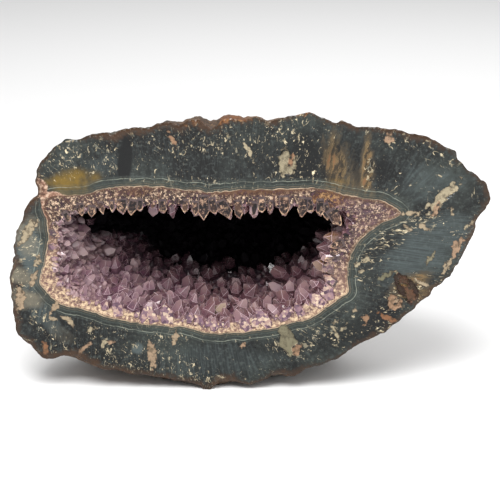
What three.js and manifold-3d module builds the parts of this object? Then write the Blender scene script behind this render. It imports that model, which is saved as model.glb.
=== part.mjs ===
// Half of an amethyst geode, standing upright with its sawn and polished face to the front.
// A shell of dark banded rock has a lumpy natural rind behind the flat face, and a deep hollow
// in it is lined with one crust of pointed crystals.
// Units are millimetres, +Z is up and the face looks along -Y. The origin is at the bottom
// centre of the whole stone.

import * as THREE from "three";
import { ImprovedNoise } from "three/addons/math/ImprovedNoise.js";
import { mergeVertices } from "three/addons/utils/BufferGeometryUtils.js";
import Module from "manifold-3d";

// Driving dimensions
const STONE_DEPTH = 112; // from the polished face to the furthest point of the rind
const HOLLOW_DEPTH = 92; // from the face to the back of the crust
const VOID_DEPTH = 79; // from the face to the back of the open space
const CRUST_GAP = 0.5; // room between the crust and the rock that carries it
const PIT = { depth: 1.8, sides: 7, waviness: 0.16 }; // how the coarse inclusions are hollowed
const RIM_FADE = 20; // depth behind the face at which the rim's small bumps have faded
const RINGS = { rind: 14, hollow: 9 }; // rings of points from the face to the back of a shell
const LUMPS = {
  size: 38, // distance from one lump of the rind to the next
  height: 11, // how far a lump stands out at most
  detail: 0.3, // share of the height that lumps of half the size have
  fullBehind: 16, // depth at which the lumps have their full height
};
const CRYSTAL = {
  spacing: [11.2, 18.5], // least distance between two crystals, at the front and at the back
  radius: [3.8, 6.6],
  smallBias: 1.6, // above 1, small crystals are more common than large ones
  prism: [0.5, 1.2], // length of the straight part, in radii
  point: [1.1, 1.4], // length of the pointed end, in radii
  lean: 0.7, // how far a crystal may lean, as a share of its length
  sink: 4, // how deep a crystal is rooted in the crust
  tries: 5000,
  seed: 20,
};

// Rim of the polished face, clockwise from the left: [x, height], bumps and notches as sawn
const RIM = [
  [-147, 96], [-144, 106], [-140, 121], [-137, 126], [-132, 130], [-131, 140], [-128, 149],
  [-121, 158], [-116, 162], [-110, 163], [-104, 162], [-99, 164.5], [-94, 164], [-89, 166],
  [-84, 165], [-79, 167], [-70, 169], [-62, 169], [-57, 172], [-50, 175], [-42, 173.5],
  [-37, 176.5], [-32, 177], [-27, 173], [-22, 172], [-16, 177], [-6, 176], [3, 178], [13, 177],
  [21, 179], [30, 181], [37, 181], [44, 178], [52, 174], [57, 175], [65, 170.5], [75, 171.5],
  [85, 169], [93, 169], [99, 166], [109, 165.5], [117, 160], [125, 156], [127, 152], [132, 146],
  [139, 142], [145, 137], [149, 128], [146, 121], [141, 114], [140.5, 106], [135, 96],
  [127, 79], [116, 69], [113, 64], [106, 59], [103, 54], [93, 46], [85, 39], [73, 33],
  [62, 26], [53, 20], [45, 16.5], [36, 14.5], [33, 12.5], [28, 9.5], [22, 11], [15, 10.5],
  [9, 6], [-1, 4], [-13, 6.5], [-18, 6.5], [-23, 2], [-27.5, 0], [-32, 2.5], [-40, 6],
  [-53, 8], [-66, 10], [-79, 11.5], [-87, 14], [-94, 13.5], [-98, 15.5], [-105, 20],
  [-112, 23.5], [-119, 23.5], [-126, 21.5], [-132, 22], [-136, 25.5], [-140, 30.5],
  [-147, 36.5], [-149, 40], [-150, 48], [-150, 57], [-151, 70], [-149, 80], [-146, 84],
];

// Line where the rock ends and the crust begins, on the face, clockwise from the upper left
const HOLLOW = [
  [-128, 121], [-125, 129], [-110, 130], [-99, 132], [-86, 135], [-68, 136], [-51, 135],
  [-36, 133], [-23, 132], [-11, 133], [0, 134], [22, 134], [43, 134.5], [52, 132], [64, 129],
  [81, 127], [88, 123], [94, 119], [90, 116], [80, 111], [71, 104], [65, 96], [62, 87],
  [61, 76], [61, 67], [54, 61], [45, 54], [38, 50], [22, 45], [9, 42], [-4, 40], [-21, 39],
  [-32, 40], [-42, 43], [-53, 44], [-65, 45], [-82, 48.5], [-95, 52], [-107, 56.5],
  [-120, 59], [-129, 68], [-132, 73], [-131, 79], [-128, 91], [-126, 103], [-126, 114],
];

// Edge of the crust's bed around the open space, on the face, clockwise from the left
const LIP = [
  [-121, 106], [-119, 114], [-106, 120], [-87, 122], [-62, 123], [-31, 121], [0, 122],
  [31, 122], [52, 121], [66, 115], [58, 105], [54, 95], [50, 85], [50, 73], [43, 62],
  [28, 54], [8, 48], [-13, 45.5], [-32, 46], [-51, 49], [-70, 51], [-89, 55], [-104, 59.5],
  [-117, 67], [-124, 78], [-122, 95],
];

// Coarse inclusions that the polish leaves as shallow pits: centre, half length, half width, turn
const PITS = [
  { x: 23, z: 151, long: 9, wide: 5.5, turn: 85 },
  { x: 120, z: 129, long: 13, wide: 4, turn: 50 },
  { x: 98, z: 71, long: 9, wide: 5, turn: 115 },
  { x: 91, z: 58, long: 5.5, wide: 4.5, turn: 20 },
  { x: 26, z: 32, long: 12, wide: 7, turn: 115 },
  { x: -63, z: 25, long: 8.5, wide: 3.6, turn: 100 },
  { x: -139, z: 106, long: 9, wide: 3.4, turn: 58 },
];

// Form of each shell: the centre that its rings close in on, how that centre drifts with
// depth, and the two powers of its profile, where a higher first power keeps it wide for longer
const STONE_FORM = { centre: [0, 88], drift: [0, -0.12], flat: 2, round: 0.5 };
const STONE_REACH = new THREE.Vector3(150, STONE_DEPTH, 90); // from the form's centre to the rind
const RIM_SMOOTHING = 20; // passes that turn the sawn rim into the round outline further back
const RIM_REGAIN = 3; // growth that makes up for what the smoothing takes off the outline
const HOLLOW_FORM = { centre: [-25, 92], drift: [0.18, 0.12], flat: 2.2, round: 0.5 };

// Underside, which is flat enough behind the face for the stone to stand
const FOOT = {
  rimHeights: [16, 56], // the rim leads back to the foot below the first, not above the second
  slope: 0.3, // how steeply the underside falls from the rim to the foot
  run: 8, // depth that the fall takes even where the rim is at the floor
  rises: [82, 110], // depths over which the underside turns up to the back
  sink: 0.8, // how far its mean lies below the floor before it is trimmed flat there
  lumpSize: 26,
  lumpHeight: 2,
};

// Where in the noise each set of lumps is taken from
const NOISE_PLACE = { rind: 7.3, rindDetail: 2.1, foot: 4.9 };

const { lerp, smoothstep } = THREE.MathUtils;
const wasm = await Module();
wasm.setup();
const noise = new ImprovedNoise();

// A repeatable stream of numbers from 0 to 1
function randomStream(seed) {
  let state = seed;
  return () => {
    state = (state + 0x6d2b79f5) | 0;
    let t = Math.imul(state ^ (state >>> 15), 1 | state);
    t = (t + Math.imul(t ^ (t >>> 7), 61 | t)) ^ t;
    return ((t ^ (t >>> 14)) >>> 0) / 4294967296;
  };
}

// A number that runs smoothly from -1 to 1 over space, with features of the given size
function lumps(point, size, offset) {
  return noise.noise(point.x / size + offset, point.y / size + offset, point.z / size);
}

// The outline moved outwards by a distance, each point along the mean of its two sides' normals
function grown(outline, distance) {
  return outline.map(([x, z], i) => {
    const [xBefore, zBefore] = outline.at(i - 1);
    const [xAfter, zAfter] = outline[(i + 1) % outline.length];
    const normal = new THREE.Vector2(zBefore - zAfter, xAfter - xBefore).normalize();
    return [x + normal.x * distance, z + normal.y * distance];
  });
}

// One ring of a shell: the outline drawn in towards the form's centre at this share of its depth
function ringAt(outline, form, depth, share) {
  const y = depth * share;
  const width = (1 - share ** form.flat) ** form.round;
  const x = form.centre[0] + form.drift[0] * y;
  const z = form.centre[1] + form.drift[1] * y;
  return outline.map(
    ([px, pz]) =>
      new THREE.Vector3(x + (px - form.centre[0]) * width, y, z + (pz - form.centre[1]) * width),
  );
}

// Rings from the face to the back, closer together where the shell turns in
function shellRings(outline, form, depth, count) {
  const rings = [];
  for (let i = 0; i < count; i++) {
    rings.push(ringAt(outline, form, depth, Math.sin(((i / count) * Math.PI) / 2)));
  }
  return rings;
}

function poleOf(form, depth) {
  const x = form.centre[0] + form.drift[0] * depth;
  return new THREE.Vector3(x, depth, form.centre[1] + form.drift[1] * depth);
}

// A closed surface through clockwise rings: a flat cap on the first and a point behind the last
function loft(rings, pole) {
  const around = rings[0].length;
  const points = [...rings.flat(), pole];
  const index = [];
  const flat = rings[0].map((p) => new THREE.Vector2(p.x, p.z));
  for (const [a, b, c] of THREE.ShapeUtils.triangulateShape(flat, [])) {
    const facesFront = THREE.ShapeUtils.area([flat[a], flat[b], flat[c]]) > 0;
    index.push(...(facesFront ? [a, b, c] : [a, c, b]));
  }
  rings.forEach((ring, j) => {
    for (let i = 0; i < around; i++) {
      const next = (i + 1) % around;
      const [a, b] = [j * around + i, j * around + next];
      if (j === rings.length - 1) {
        index.push(a, b, points.length - 1);
      } else {
        index.push(a, b, b + around, a, b + around, a + around);
      }
    }
  });
  const geometry = new THREE.BufferGeometry().setFromPoints(points);
  geometry.setIndex(index);
  return geometry;
}

// A three.js geometry as a solid that can be joined and cut
function solidOf(geometry) {
  const bare = geometry.clone();
  bare.deleteAttribute("normal");
  bare.deleteAttribute("uv");
  const merged = mergeVertices(bare, 1e-4);
  return new wasm.Manifold(
    new wasm.Mesh({
      numProp: 3,
      vertProperties: merged.attributes.position.array,
      triVerts: new Uint32Array(merged.index.array),
    }),
  );
}

// The solid back as a three.js geometry, with flat faces
function geometryOf(solid) {
  const mesh = solid.getMesh();
  const geometry = new THREE.BufferGeometry();
  geometry.setAttribute("position", new THREE.BufferAttribute(mesh.vertProperties, 3));
  geometry.setIndex(new THREE.BufferAttribute(mesh.triVerts, 1));
  return geometry;
}

// The outline with its small bumps smoothed away
function smoothed(outline, passes) {
  let result = outline;
  for (let pass = 0; pass < passes; pass++) {
    result = result.map(([x, z], i) => {
      const [before, after] = [result.at(i - 1), result[(i + 1) % result.length]];
      return [(before[0] + 2 * x + after[0]) / 4, (before[1] + 2 * z + after[1]) / 4];
    });
  }
  return result;
}

// Pushes a point of the rind outwards by the lumps there
function raiseLumps(point) {
  const outward = new THREE.Vector3(point.x, point.y, point.z - STONE_FORM.centre[1]);
  outward.divide(STONE_REACH).divide(STONE_REACH).normalize();
  const coarse = lumps(point, LUMPS.size, NOISE_PLACE.rind);
  const fine = lumps(point, LUMPS.size / 2, NOISE_PLACE.rindDetail);
  const height = LUMPS.height * smoothstep(point.y, 0, LUMPS.fullBehind);
  point.addScaledVector(outward, lerp(coarse, fine, LUMPS.detail) * height);
}

// Brings a point behind a low part of the rim down to the foot
function lowerToFoot(point, rimHeight) {
  const low = 1 - smoothstep(rimHeight, ...FOOT.rimHeights);
  const reached = smoothstep(point.y, 0, FOOT.run + rimHeight / FOOT.slope);
  const notPast = 1 - smoothstep(point.y, ...FOOT.rises);
  const foot = FOOT.lumpHeight * lumps(point, FOOT.lumpSize, NOISE_PLACE.foot) - FOOT.sink;
  point.z = Math.max(0, lerp(point.z, foot, low * reached * notPast));
}

// The whole stone without its hollow: a flat front, a lumpy rind and a foot to stand on
function stoneBlock() {
  const sharp = shellRings(RIM, STONE_FORM, STONE_DEPTH, RINGS.rind);
  const softRim = grown(smoothed(RIM, RIM_SMOOTHING), RIM_REGAIN);
  const soft = shellRings(softRim, STONE_FORM, STONE_DEPTH, RINGS.rind);
  const rings = sharp.map((ring, j) => {
    if (j === 0) return ring;
    return ring.map((sharpPoint, i) => {
      const point = sharpPoint.clone().lerp(soft[j][i], smoothstep(sharpPoint.y, 0, RIM_FADE));
      raiseLumps(point);
      lowerToFoot(point, softRim[i][1]);
      return point;
    });
  });
  return solidOf(loft(rings, poleOf(STONE_FORM, STONE_DEPTH)));
}

// The space that the crust fills, grown by some room and open to the front
function hollowSpace(room) {
  const depth = HOLLOW_DEPTH + room;
  const rings = shellRings(grown(HOLLOW, room), HOLLOW_FORM, depth, RINGS.hollow);
  if (room > 0) {
    rings.unshift(rings[0].map((p) => new THREE.Vector3(p.x, -PIT.depth, p.z)));
  }
  return solidOf(loft(rings, poleOf(HOLLOW_FORM, depth)));
}

// The surface of the open space inside the crust, before crystals stand on it
function voidSurface() {
  const rings = shellRings(LIP, HOLLOW_FORM, VOID_DEPTH, RINGS.hollow);
  return loft(rings, poleOf(HOLLOW_FORM, VOID_DEPTH));
}

// A shallow pit with uneven sides
function pit({ x, z, long, wide, turn }) {
  const shape = new THREE.Shape();
  for (let i = 0; i < PIT.sides; i++) {
    const angle = (i / PIT.sides) * 2 * Math.PI;
    const reach = 1 + PIT.waviness * Math.sin(3 * angle + x);
    const corner = [Math.cos(angle) * long * reach, Math.sin(angle) * wide * reach];
    if (i === 0) shape.moveTo(...corner);
    else shape.lineTo(...corner);
  }
  const cutter = new THREE.ExtrudeGeometry(shape, { depth: 2 * PIT.depth, bevelEnabled: false });
  cutter.rotateZ(THREE.MathUtils.degToRad(turn));
  cutter.rotateX(Math.PI / 2);
  cutter.translate(x, PIT.depth, z);
  return solidOf(cutter);
}

// Spots spread over the open space's surface, no two closer than the spacing
function crystalSpots(surface, random) {
  const position = surface.getAttribute("position");
  const index = surface.getIndex();
  const triangle = new THREE.Triangle();
  const faces = [];
  let total = 0;
  for (let i = 0; i < index.count; i += 3) {
    const corners = [0, 1, 2].map((k) => index.getX(i + k));
    triangle.setFromAttributeAndIndices(position, ...corners);
    if (Math.max(triangle.a.y, triangle.b.y, triangle.c.y) < 1e-6) continue;
    total += triangle.getArea();
    faces.push({ corners, upTo: total });
  }
  const spots = [];
  for (let tries = 0; tries < CRYSTAL.tries; tries++) {
    const pick = random() * total;
    const { corners } = faces.find((face) => face.upTo >= pick);
    triangle.setFromAttributeAndIndices(position, ...corners);
    const [u, v] = [random(), random()];
    const [s, t] = u + v > 1 ? [1 - u, 1 - v] : [u, v];
    const at = triangle.a.clone().multiplyScalar(1 - s - t);
    at.addScaledVector(triangle.b, s).addScaledVector(triangle.c, t);
    const inward = triangle.getNormal(new THREE.Vector3()).negate();
    const spacing = lerp(...CRYSTAL.spacing, at.y / VOID_DEPTH);
    if (spots.every((spot) => spot.at.distanceTo(at) > spacing)) {
      spots.push({ at, inward });
    }
  }
  return spots;
}

// A six-sided prism with a pointed end, rooted below the surface and leaning a little
function crystal({ at, inward }, random) {
  const radius = lerp(...CRYSTAL.radius, random() ** CRYSTAL.smallBias);
  const prism = radius * lerp(...CRYSTAL.prism, random());
  const point = radius * lerp(...CRYSTAL.point, random());
  const profile = [
    new THREE.Vector2(0, -CRYSTAL.sink),
    new THREE.Vector2(radius, -CRYSTAL.sink),
    new THREE.Vector2(radius, prism),
    new THREE.Vector2(0, prism + point),
  ];
  const shape = new THREE.LatheGeometry(profile, 6, random() * Math.PI);
  const lean = new THREE.Vector3(random() - 0.5, random() - 0.5, random() - 0.5);
  const along = inward.clone().addScaledVector(lean, CRYSTAL.lean).normalize();
  const turn = new THREE.Quaternion().setFromUnitVectors(new THREE.Vector3(0, 1, 0), along);
  shape.applyQuaternion(turn);
  shape.translate(at.x, at.y, at.z);
  return solidOf(shape);
}

function stoneShell() {
  const cutters = [hollowSpace(CRUST_GAP), ...PITS.map(pit)];
  return wasm.Manifold.difference([stoneBlock(), ...cutters]);
}

function crystalCrust() {
  const random = randomStream(CRYSTAL.seed);
  const surface = voidSurface();
  const lining = hollowSpace(0).subtract(solidOf(surface));
  const crystals = crystalSpots(surface, random).map((spot) => crystal(spot, random));
  return wasm.Manifold.union([lining, ...crystals]).intersect(hollowSpace(0));
}

const darkAgate = new THREE.MeshStandardMaterial({ color: 0x39444a, roughness: 0.25, metalness: 0 });
const amethyst = new THREE.MeshStandardMaterial({ color: 0x7d5f86, roughness: 0.2, metalness: 0 });

function named(name, solid, material) {
  const mesh = new THREE.Mesh(geometryOf(solid), material);
  mesh.name = name;
  return mesh;
}

const geode = new THREE.Group();
geode.add(named("stone_shell", stoneShell(), darkAgate));
geode.add(named("crystal_crust", crystalCrust(), amethyst));

// The group moves so that the origin is at the bottom centre of the stone
const extent = new THREE.Box3().setFromObject(geode);
const middle = extent.getCenter(new THREE.Vector3());
geode.position.set(-middle.x, -middle.y, -extent.min.z);

export default geode;
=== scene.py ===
# %% [markdown]
# # Half of an amethyst geode
# A geode starts as a bubble in cooling lava. Agate lines the bubble in thin bands, then a crust
# of amethyst grows inwards, and its points end in the open middle. Here the stone was sawn in
# half and the cut was polished, so three things meet on one plane: dark banded rock, the sawn
# crust and the hollow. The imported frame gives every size, and each visible surface is built on it.

# %% Load the frame
import math
import bmesh
import bpy
import numpy as np
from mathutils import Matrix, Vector, noise
from mathutils.bvhtree import BVHTree
from mathutils.kdtree import KDTree


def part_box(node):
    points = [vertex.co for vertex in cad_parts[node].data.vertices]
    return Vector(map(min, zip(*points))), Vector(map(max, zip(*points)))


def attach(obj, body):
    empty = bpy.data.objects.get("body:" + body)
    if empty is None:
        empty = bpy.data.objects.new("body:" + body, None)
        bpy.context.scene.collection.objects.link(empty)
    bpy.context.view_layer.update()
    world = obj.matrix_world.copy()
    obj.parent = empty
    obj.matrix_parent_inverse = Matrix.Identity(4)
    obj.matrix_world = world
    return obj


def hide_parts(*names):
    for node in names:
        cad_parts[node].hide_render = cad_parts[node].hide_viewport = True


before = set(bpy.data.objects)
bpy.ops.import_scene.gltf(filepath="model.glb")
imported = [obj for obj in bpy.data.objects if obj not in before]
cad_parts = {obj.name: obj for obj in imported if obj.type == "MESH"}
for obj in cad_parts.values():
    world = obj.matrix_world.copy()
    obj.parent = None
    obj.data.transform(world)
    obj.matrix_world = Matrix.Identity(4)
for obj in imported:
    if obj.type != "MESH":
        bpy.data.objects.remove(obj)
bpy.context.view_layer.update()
MM = 0.001  # metres in a millimetre
shell_low, shell_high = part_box("stone_shell")
crust_low, crust_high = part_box("crystal_crust")
FACE_Y = shell_low.y  # the plane of the polished cut
CRUST_DEPTH = crust_high.y - crust_low.y
print("stone in mm", [round(v / MM, 1) for v in shell_high - shell_low], "cut at y", round(FACE_Y, 5))

# %% [markdown]
# ## Camera, floor and light
# The camera comes first, so that every later step can be judged in the same picture. It looks
# down at 18 degrees on the upright face. One broad lamp stands high in front, as a north window
# would: it reaches the front of the hollow's floor and leaves the back of the hollow dark.

# %% Camera, floor and light
CAMERA_RISE = 18
CAMERA_RANGE = 1.0
LOOK_AT = Vector((1.75 * MM, FACE_Y, 94.7 * MM))
LAMPS = [  # name, azimuth, rise, distance in m, size in m, watts
    ("key", -14, 56, 1.3, 0.75, 23),
    ("fill", 38, 30, 1.8, 1.2, 7),
    ("back", 165, 50, 1.6, 0.9, 9),
]
WORLD_LIGHT = 0.55


def stand(data, azimuth, rise, reach):
    """Puts a camera or a lamp round the middle of the face and aims it there. Azimuth 0 is in front."""
    a, e = math.radians(azimuth), math.radians(rise)
    away = Vector((math.sin(a) * math.cos(e), -math.cos(a) * math.cos(e), math.sin(e)))
    thing = bpy.data.objects.new(data.name, data)
    thing.location = LOOK_AT + reach * away
    thing.rotation_mode = "QUATERNION"
    thing.rotation_quaternion = (-away).to_track_quat("-Z", "Y")
    bpy.context.scene.collection.objects.link(thing)
    return thing


camera = stand(bpy.data.cameras.new("camera"), 0, CAMERA_RISE, CAMERA_RANGE)
camera.data.lens = 114.9
camera.data.sensor_width = 36
bpy.context.scene.camera = camera
for name, azimuth, rise, reach, size, watts in LAMPS:
    lamp = stand(bpy.data.lights.new(name, "AREA"), azimuth, rise, reach)
    lamp.data.size = size
    lamp.data.energy = watts

bpy.ops.mesh.primitive_plane_add(size=12, location=(0, 0, 0))
floor = bpy.context.object
floor.name = "floor"
world = bpy.data.worlds.new("studio")
bpy.context.scene.world = world
world.use_nodes = True
world.node_tree.nodes["Background"].inputs["Color"].default_value = (1, 1, 1, 1)
world.node_tree.nodes["Background"].inputs["Strength"].default_value = WORLD_LIGHT
bpy.context.scene.view_settings.view_transform = "Standard"
print("lamps", [row[0] for row in LAMPS])

# %% [markdown]
# ## Outlines of the face
# The sawn face is flat, so two closed lines describe it: the rim, where rock meets air, and the
# crust line, where rock meets amethyst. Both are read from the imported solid's flat front, where
# an edge that only one triangle has lies on a border. A spline then rounds the solid's corners,
# and a little noise makes them as uneven as stone.

# %% Outlines of the face
RIM_PUSHES = [  # where the photo's rim lies further out: x, height, reach, sideways and upwards, in mm
    (-80, 160, 36, 0, 4.5), (-15, 175, 26, 0, 1.8), (80, 165, 46, 0, 3.0),
    (-132, 150, 16, -1.6, 0.6), (-146, 100, 14, -1.2, 0), (132, 148, 22, 1.5, 1.2),
]


def doubled_area(loop):
    """Twice the area inside an outline: below 0 where it runs clockwise, seen from the front."""
    x, z = loop.T
    return (x * np.roll(z, -1) - np.roll(x, -1) * z).sum()


def face_outline(node):
    """The largest closed border of a solid's flat front, clockwise, as an array of x and z."""
    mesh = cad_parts[node].data
    edges = set()
    for polygon in mesh.polygons:
        corners = [mesh.vertices[i].co for i in polygon.vertices]
        if max(c.y for c in corners) > FACE_Y + 0.01 * MM:
            continue
        spots = [(round(c.x, 5), round(c.z, 5)) for c in corners]
        for edge in zip(spots, spots[1:] + spots[:1]):
            if edge[::-1] in edges:
                edges.remove(edge[::-1])
            else:
                edges.add(edge)
    follows = dict(edges)
    loops = []
    while follows:
        spot, after = follows.popitem()
        loop = [spot]
        while after in follows:
            loop.append(after)
            after = follows.pop(after)
        loops.append(np.array(loop))
    outline = max(loops, key=lambda loop: abs(doubled_area(loop)))
    return outline if doubled_area(outline) < 0 else outline[::-1]


def splined(loop, steps=24):
    """A smooth closed curve through the outline's points."""
    before, here, after, later = (np.roll(loop, k, axis=0) for k in (1, 0, -1, -2))
    t = np.linspace(0, 1, steps, endpoint=False)[:, None, None]
    curve = 2 * here + (after - before) * t
    curve = curve + (2 * before - 5 * here + 4 * after - later) * t**2
    curve = curve + (3 * here - before - 3 * after + later) * t**3
    return (curve / 2).transpose(1, 0, 2).reshape(-1, 2)


def roughened(curve, waves):
    """The outline with small unevenness: waves lists the size and the height of each, in mm."""
    sideways = np.roll(curve, -1, axis=0) - np.roll(curve, 1, axis=0)
    normal = np.stack([-sideways[:, 1], sideways[:, 0]], axis=1)
    normal /= np.linalg.norm(normal, axis=1)[:, None]
    offset = np.zeros(len(curve))
    for size, height in waves:
        places = np.insert(curve / (size * MM), 1, size, axis=1)
        offset += [height * MM * noise.noise(place) for place in places]
    return curve + normal * offset[:, None]


def pushed(curve, pushes):
    """The outline moved outwards in places, each push fading out at its reach."""
    moved = curve.copy()
    for x, z, reach, sideways, upwards in pushes:
        apart = np.linalg.norm(curve / MM - (x, z), axis=1) / reach
        moved += np.outer(np.exp(-(apart**4)), (sideways, upwards)) * MM
    return moved


rim = pushed(roughened(splined(face_outline("stone_shell")), [(7, 1.3), (2.6, 0.6)]), RIM_PUSHES)
crust_line = roughened(splined(face_outline("crystal_crust")), [(9, 1.2), (3, 0.5)])
print("points on the rim", len(rim), "and on the crust line", len(crust_line))

# %% [markdown]
# ## Spokes across the rock
# Fibres and flecks in the rock run straight out from the crust line, because the agate grew
# inwards along them. The face's mesh is therefore laid in spokes, from the crust line to the
# rim. A few pairs of opposite points fix where a spoke starts and ends, and the rest follow.

# %% Spokes across the rock
SPOKES = 880  # 1 mm apart along the rim, and divisible by 8
PAIRS = [  # on the crust line, on the rim: x and height in mm, clockwise from the left
    ((-129, 79), (-147, 80)), ((-126, 120), (-139, 118)), ((-123, 129), (-130, 139)),
    ((-97, 132), (-108, 163)), ((-49, 135), (-55, 172)), ((2, 134), (5, 178)),
    ((45, 134), (54, 174)), ((83, 127), (101, 166)), ((92, 122), (129, 152)),
    ((96, 119), (150, 126)), ((82, 111), (143, 107)), ((64, 87), (129, 79)),
    ((63, 67), (108, 59)), ((47, 54), (87, 39)), ((24, 45), (47, 17)), ((-19, 39), (-16, 6)),
    ((-63, 45), (-64, 10)), ((-105, 56), (-103, 20)), ((-127, 68), (-138, 30)),
]


def travelled(curve):
    """The length of a closed curve, and how far round it, from 0 to 1, each of its points lies."""
    steps = np.linalg.norm(np.roll(curve, -1, axis=0) - curve, axis=1)
    return steps.sum(), np.concatenate([[0], np.cumsum(steps[:-1])]) / steps.sum()


def shares_near(curve, spots):
    """How far round the curve its nearest points to these spots lie, rising by 1 with each lap."""
    nearest_points = [np.linalg.norm(curve - spot, axis=1).argmin() for spot in spots]
    found = travelled(curve)[1][nearest_points]
    return found + np.concatenate([[0], np.cumsum(np.diff(found) < 0)])


def followed(shares, known, wanted):
    """Shares of one curve turned to shares of another, from pairs that are known on both."""
    return np.interp(shares, np.append(known, known[0] + 1), np.append(wanted, wanted[0] + 1))


def points_at(curve, shares):
    """Points of a closed curve at these shares of its length."""
    knots = np.append(travelled(curve)[1], 1)
    closed = np.vstack([curve, curve[:1]])
    return np.stack([np.interp(np.mod(shares, 1), knots, closed[:, k]) for k in (0, 1)], axis=1)


pairs = np.array(PAIRS) * MM
crust_share, rim_share = shares_near(crust_line, pairs[:, 0]), shares_near(rim, pairs[:, 1])
turn = (crust_share + rim_share) / 2
spoke = turn[0] + np.arange(SPOKES) / SPOKES
spoke_crust = followed(spoke, turn, crust_share)
inner = points_at(crust_line, spoke_crust)
outer = points_at(rim, followed(spoke, turn, rim_share))
along = spoke_crust * travelled(crust_line)[0] / MM
print("spokes", SPOKES, "longest mm", round(np.linalg.norm(outer - inner, axis=1).max() / MM, 1))

# %% [markdown]
# ## Skins woven through rows
# The rock and the crust are both closed skins, and each could be sculpted or made by booleans.
# Rows of points give more control: a row is a ring round the hollow's axis, its points line up
# with the spokes, and a row may have half as many points as the one before it, so that the
# triangles keep about one size towards the back.


# %% Skins woven through rows
def woven(rows):
    """Points and faces of a closed skin through rows, and the row that each face follows."""
    starts = np.cumsum([0] + [len(row) for row in rows])
    faces, after_row = [], []
    for k in range(len(rows) - 1):
        first, second = (list(range(starts[m], starts[m + 1])) for m in (k, k + 1))
        many, few = (first, second) if len(first) >= len(second) else (second, first)
        n = len(many)
        made = []
        for i in range(n):
            j = (i + 1) % n
            if len(few) == 1:
                made.append((many[i], many[j], few[0]))
            elif len(few) == n:
                made.append((many[i], many[j], few[j], few[i]))
            elif i % 2 == 0:
                near, far = few[i // 2], few[(i // 2 + 1) % len(few)]
                after = many[(i + 2) % n]
                made += [(many[i], many[j], near), (many[j], far, near), (many[j], after, far)]
        faces += made
        after_row += [k] * len(made)
    return np.concatenate(rows), faces, np.array(after_row)


def thinned(ring, share):
    """The ring with fewer points towards the back of a skin: share runs from 0 at the cut to 1."""
    return ring[:: 1 if share < 0.2 else 2 if share < 0.55 else 4 if share < 0.85 else 8]


def row_numbers(rows):
    """The number of the row that each point of a skin is in."""
    return np.repeat(np.arange(len(rows)), [len(row) for row in rows])


def along_rows(rows):
    """How far along the crust line in mm each point's spoke starts."""
    return np.concatenate([along[:: SPOKES // len(row)] if len(row) > 1 else [0] for row in rows])


def triangles(faces):
    """How many triangles the faces make."""
    return sum(len(face) - 2 for face in faces)


def new_piece(name, mesh, materials):
    """An object of the mesh, with outward normals and its materials."""
    for material in materials:
        mesh.materials.append(material)
    shape = bmesh.new()
    shape.from_mesh(mesh)
    bmesh.ops.recalc_face_normals(shape, faces=shape.faces)
    shape.to_mesh(mesh)
    shape.free()
    piece = bpy.data.objects.new(name, mesh)
    bpy.context.scene.collection.objects.link(piece)
    return piece


def new_skin(name, points, faces, materials, material_of_face, smooth):
    """A piece made of a skin, with a material for each face and smooth or flat shading."""
    mesh = bpy.data.meshes.new(name)
    mesh.from_pydata(points.tolist(), [], faces)
    mesh.polygons.foreach_set("material_index", np.asarray(material_of_face, dtype=np.int32))
    mesh.polygons.foreach_set("use_smooth", np.asarray(smooth, dtype=bool))
    return new_piece(name, mesh, materials)


def keep(piece, **values):
    """Stores one number at each point of the piece, for its material to read."""
    for name, numbers in values.items():
        attribute = piece.data.attributes.new(name, "FLOAT", "POINT")
        attribute.data.foreach_set("value", np.asarray(numbers, dtype=np.float32))


def on_face(flat, behind=0.0):
    """Points of x and z as points in space, on the face or so far behind it."""
    return np.insert(flat, 1, FACE_Y + behind, axis=1)


# %% [markdown]
# ## The hollow's form
# The hollow narrows towards the back as the solid's does: each ring is the outline drawn in
# towards a middle that drifts to the right and upwards. The same function gives the wall of the
# rock, the outside of the crust and the bed that the points stand on.

# %% The hollow's form
HOLLOW_MIDDLE = np.array([-23.25, 92]) * MM
HOLLOW_DRIFT = np.array([0.18, 0.12])
HOLLOW_POWER = 2.2
ROCK_GAP = 0.3 * MM


def hollow_rows(outline, depth, count):
    """Rings from just behind the cut to the back, and the single point that closes them."""
    rows = []
    for k in range(1, count):
        share = math.sin(k / count * math.pi / 2)
        width = math.sqrt(1 - share**HOLLOW_POWER)
        ring = HOLLOW_MIDDLE + HOLLOW_DRIFT * share * depth + (outline - HOLLOW_MIDDLE) * width
        rows.append(on_face(thinned(ring, k / count), share * depth))
    rows.append(on_face((HOLLOW_MIDDLE + HOLLOW_DRIFT * depth)[None], depth))
    return rows


def outwards(outline, distance):
    """The outline moved away from the hollow's middle."""
    spread = outline - HOLLOW_MIDDLE
    return outline + distance * spread / np.linalg.norm(spread, axis=1)[:, None]


def hollow_axis(places):
    """The middle of the hollow as far behind the cut as each place, a little less at the back."""
    drift = [HOLLOW_DRIFT[0], 0.6, HOLLOW_DRIFT[1]]
    return on_face(HOLLOW_MIDDLE[None])[0] + np.outer(places[:, 1] - FACE_Y, drift)


# %% [markdown]
# ## The rock's face and rind
# The face's rows run from the crust line to the rim. Behind the rim, rays find the packed
# solid's rind along each spoke, its flat facets are relaxed, and rounded knobs and grit are
# raised on it, as weathered lava has. The foot stays flat where it meets the floor.

# %% The rock's face and rind
FACE_ROWS = 56
RIND_ROWS = 72
WALL_ROWS = 14
FAR_OUTSIDE = 0.4
STONE_MIDDLE = np.array([1.75, 88]) * MM
middle_of_face = Vector(on_face(STONE_MIDDLE[None])[0])
shell_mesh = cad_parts["stone_shell"].data
shell_tree = BVHTree.FromPolygons(
    [v.co for v in shell_mesh.vertices], [p.vertices for p in shell_mesh.polygons]
)


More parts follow.
